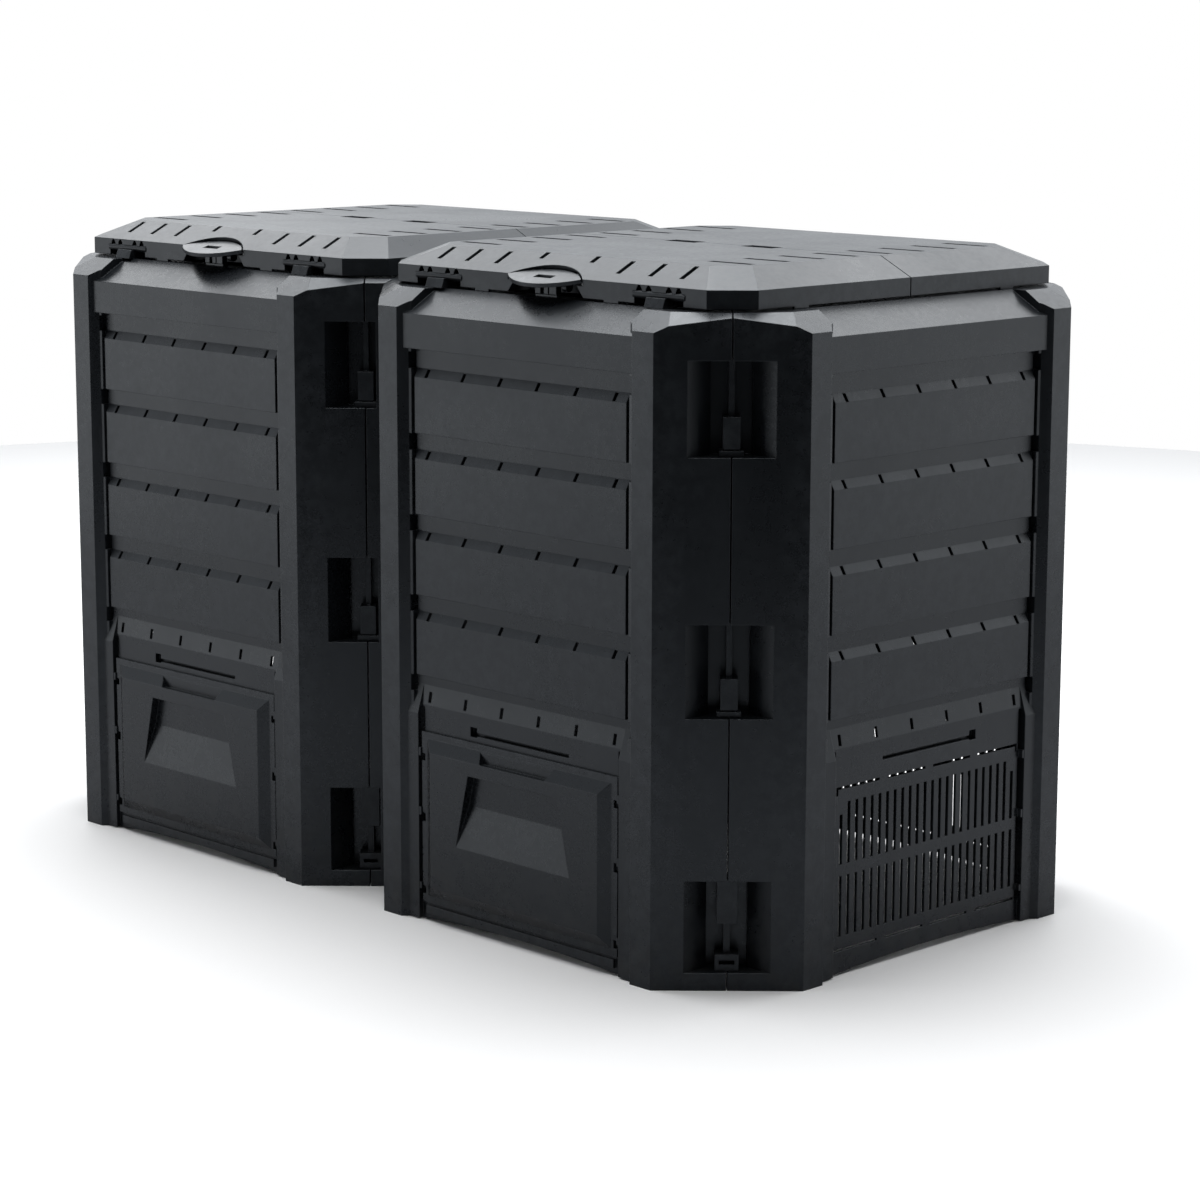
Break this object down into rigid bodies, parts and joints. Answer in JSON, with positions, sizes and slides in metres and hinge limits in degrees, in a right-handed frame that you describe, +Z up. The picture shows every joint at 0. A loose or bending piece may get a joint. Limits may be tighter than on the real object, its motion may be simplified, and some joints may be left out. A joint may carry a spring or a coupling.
{
  "type": "compost bin",
  "caption": "Modular garden compost bin: joined octagonal plastic chambers with slotted slat walls, vented hinged lids with latches, and sliding hatch doors at the foot.",
  "frame": {"origin": "on the ground under the middle of the pair of chambers", "axes": "+X along the front from the left chamber to the right one, +Y from the front to the back, +Z up"},
  "size_m": [1.35, 0.719, 0.829],
  "materials": {
    "shell": "satin anthracite polypropylene",
    "lid": "satin anthracite polypropylene",
    "door": "satin anthracite polypropylene",
    "clip": "matt anthracite polypropylene"
  },
  "bodies": {
    "bin": {"front_wall_left": "shell", "front_wall_right": "shell", "rear_wall_left": "shell", "rear_wall_right": "shell", "end_wall_left": "shell", "end_wall_right": "shell", "divider_wall": "shell", "clips_front_left": "clip", "clips_front_right": "clip", "clips_rear_left": "clip", "clips_rear_right": "clip", "clips_front_middle": "clip", "clips_rear_middle": "clip", "cradles_front_left": "shell", "cradles_front_right": "shell", "cradles_rear_left": "shell", "cradles_rear_right": "shell", "latch_catch_left": "shell", "latch_catch_right": "shell"},
    "door_left": {"door_left": "door", "door_left_hooks": "door"},
    "lid_left": {"lid_left_front": "lid", "lid_left_rear": "lid", "lid_left_clips": "clip", "lid_left_pins": "shell"},
    "latch_left": {"latch_left": "shell", "latch_pin_left": "shell"},
    "door_right": {"door_right": "door", "door_right_hooks": "door"},
    "lid_right": {"lid_right_front": "lid", "lid_right_rear": "lid", "lid_right_clips": "clip", "lid_right_pins": "shell"},
    "latch_right": {"latch_right": "shell", "latch_pin_right": "shell"}
  },
  "joints": [
    {"name": "door_left_lift", "type": "slide", "parent": "bin", "child": "door_left", "axis": [0, 0, 1], "range_m": [0, 0.03]},
    {"name": "lid_left_hinge", "type": "hinge", "parent": "bin", "child": "lid_left", "pos_m": [-0.3155, 0.299, 0.795], "axis": [-1, 0, 0], "range_deg": [0, 100]},
    {"name": "latch_left_pivot", "type": "hinge", "parent": "lid_left", "child": "latch_left", "pos_m": [-0.3155, -0.283, 0.806], "axis": [-1, 0, 0], "range_deg": [0, 18]},
    {"name": "door_right_lift", "type": "slide", "parent": "bin", "child": "door_right", "axis": [0, 0, 1], "range_m": [0, 0.03]},
    {"name": "lid_right_hinge", "type": "hinge", "parent": "bin", "child": "lid_right", "pos_m": [0.3155, 0.299, 0.795], "axis": [-1, 0, 0], "range_deg": [0, 100]},
    {"name": "latch_right_pivot", "type": "hinge", "parent": "lid_right", "child": "latch_right", "pos_m": [0.3155, -0.283, 0.806], "axis": [-1, 0, 0], "range_deg": [0, 18]}
  ]
}
